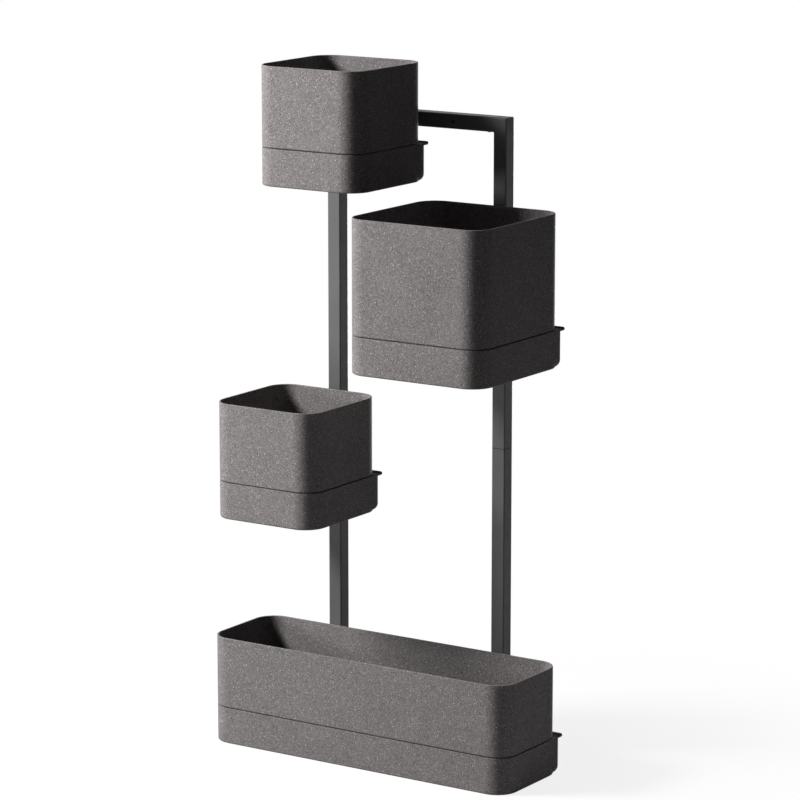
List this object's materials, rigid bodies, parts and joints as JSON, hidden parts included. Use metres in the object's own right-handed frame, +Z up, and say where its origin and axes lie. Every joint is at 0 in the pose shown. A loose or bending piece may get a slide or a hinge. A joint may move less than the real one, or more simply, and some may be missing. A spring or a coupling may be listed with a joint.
{
  "type": "plant stand",
  "caption": "Floor-standing plant rack: a long base planter, a square-tube frame behind it and planters hung on the frame, each a pot nested in a water tray.",
  "frame": {"origin": "on the floor, under the middle of the long planter", "axes": "+Z up, +X to the right of a person facing the planters, +Y back towards the frame"},
  "size_m": [0.6, 0.2947, 1.178],
  "materials": {
    "pot_composite": "matt, flecked",
    "tray_composite": "matt, flecked",
    "separator_plastic": "plain moulded",
    "cup_plastic": "plain moulded",
    "tube_paint": "matt powder coat",
    "elbow_plastic": "matt",
    "joint_plastic": "matt",
    "clamp_paint": "matt powder coat",
    "hanger_paint": "matt powder coat",
    "knob_plastic": "fine grain",
    "screw_steel": "zinc plated",
    "insert_brass": "turned"
  },
  "bodies": {
    "frame": {"long_water_tray": "tray_composite", "cross_bar": "tube_paint", "frame_screws": "screw_steel", "left_lower_post": "tube_paint", "left_upper_post": "tube_paint", "left_post_sleeve": "joint_plastic", "left_post_foot": "joint_plastic", "left_corner_elbow": "elbow_plastic", "base_left_clamp": "clamp_paint", "base_left_clamp_insert": "insert_brass", "right_lower_post": "tube_paint", "right_upper_post": "tube_paint", "right_post_sleeve": "joint_plastic", "right_post_foot": "joint_plastic", "right_corner_elbow": "elbow_plastic", "base_right_clamp": "clamp_paint", "base_right_clamp_insert": "insert_brass"},
    "long_pot": {"long_pot": "pot_composite", "long_separator": "separator_plastic", "long_wick_cups": "cup_plastic"},
    "base_left_knob": {"base_left_clamp_stud": "screw_steel", "base_left_clamp_knob": "knob_plastic"},
    "base_right_knob": {"base_right_clamp_stud": "screw_steel", "base_right_clamp_knob": "knob_plastic"},
    "left_carrier": {"left_clamp": "clamp_paint", "left_clamp_insert": "insert_brass"},
    "left_knob": {"left_clamp_stud": "screw_steel", "left_clamp_knob": "knob_plastic"},
    "left_tray": {"left_water_tray": "tray_composite"},
    "left_pot": {"left_pot": "pot_composite", "left_separator": "separator_plastic", "left_wick_cups": "cup_plastic"},
    "right_carrier": {"right_clamp": "clamp_paint", "right_clamp_insert": "insert_brass"},
    "right_knob": {"right_clamp_stud": "screw_steel", "right_clamp_knob": "knob_plastic"},
    "right_tray": {"right_water_tray": "tray_composite"},
    "right_pot": {"right_pot": "pot_composite", "right_separator": "separator_plastic", "right_wick_cups": "cup_plastic"},
    "top_carrier": {"top_hanger_left": "hanger_paint", "top_hanger_right": "hanger_paint"},
    "top_tray": {"top_water_tray": "tray_composite"},
    "top_pot": {"top_pot": "pot_composite", "top_separator": "separator_plastic", "top_wick_cups": "cup_plastic"}
  },
  "joints": [
    {"name": "long_pot_lift", "type": "slide", "parent": "frame", "child": "long_pot", "axis": [0, 0, 1], "range_m": [0, 0.12]},
    {"name": "base_left_knob_turn", "type": "hinge", "parent": "frame", "child": "base_left_knob", "pos_m": [-0.166, 0.1127, 0.036], "axis": [-1, 0, 0], "range_deg": [0, 360]},
    {"name": "base_right_knob_turn", "type": "hinge", "parent": "frame", "child": "base_right_knob", "pos_m": [0.166, 0.1127, 0.036], "axis": [1, 0, 0], "range_deg": [0, 360]},
    {"name": "left_height", "type": "slide", "parent": "frame", "child": "left_carrier", "axis": [0, 0, 1], "range_m": [-0.08, 0.08]},
    {"name": "left_knob_turn", "type": "hinge", "parent": "left_carrier", "child": "left_knob", "pos_m": [-0.166, 0.1127, 0.441], "axis": [-1, 0, 0], "range_deg": [0, 360]},
    {"name": "left_unhook", "type": "slide", "parent": "left_carrier", "child": "left_tray", "axis": [0, 0, 1], "range_m": [0, 0.03]},
    {"name": "left_pot_lift", "type": "slide", "parent": "left_tray", "child": "left_pot", "axis": [0, 0, 1], "range_m": [0, 0.16]},
    {"name": "right_height", "type": "slide", "parent": "frame", "child": "right_carrier", "axis": [0, 0, 1], "range_m": [-0.08, 0.08]},
    {"name": "right_knob_turn", "type": "hinge", "parent": "right_carrier", "child": "right_knob", "pos_m": [0.166, 0.1127, 0.728], "axis": [1, 0, 0], "range_deg": [0, 360]},
    {"name": "right_unhook", "type": "slide", "parent": "right_carrier", "child": "right_tray", "axis": [0, 0, 1], "range_m": [0, 0.03]},
    {"name": "right_pot_lift", "type": "slide", "parent": "right_tray", "child": "right_pot", "axis": [0, 0, 1], "range_m": [0, 0.16]},
    {"name": "top_sideways", "type": "slide", "parent": "frame", "child": "top_carrier", "axis": [1, 0, 0], "range_m": [-0.025, 0]},
    {"name": "top_unhook", "type": "slide", "parent": "top_carrier", "child": "top_tray", "axis": [0, 0, 1], "range_m": [0, 0.03]},
    {"name": "top_pot_lift", "type": "slide", "parent": "top_tray", "child": "top_pot", "axis": [0, 0, 1], "range_m": [0, 0.16]}
  ]
}
